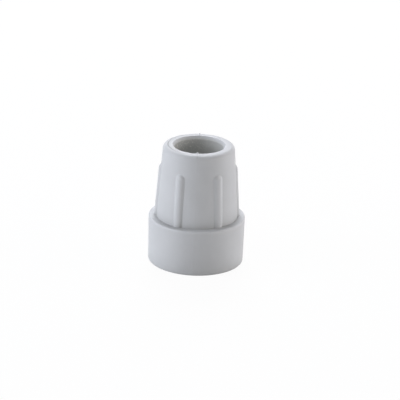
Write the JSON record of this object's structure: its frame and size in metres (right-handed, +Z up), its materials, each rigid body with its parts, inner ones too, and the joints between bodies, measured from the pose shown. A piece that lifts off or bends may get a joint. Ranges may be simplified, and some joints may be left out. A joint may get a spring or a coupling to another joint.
{
  "type": "rubber cane tip",
  "caption": "Round rubber ferrule that pushes over the end of a cane's shaft, with a ribbed tapering neck and a wide foot whose sole has ring grooves for grip.",
  "frame": {"origin": "centre of the sole, at the face that meets the ground", "axes": "+Z up along the socket's axis, out of its mouth; +X through the middle of a grip rib"},
  "size_m": [0.0396, 0.0396, 0.0498],
  "materials": {
    "rubber": "satin grey moulded rubber"
  },
  "bodies": {
    "root": {"rubber_tip": "rubber"}
  },
  "joints": []
}
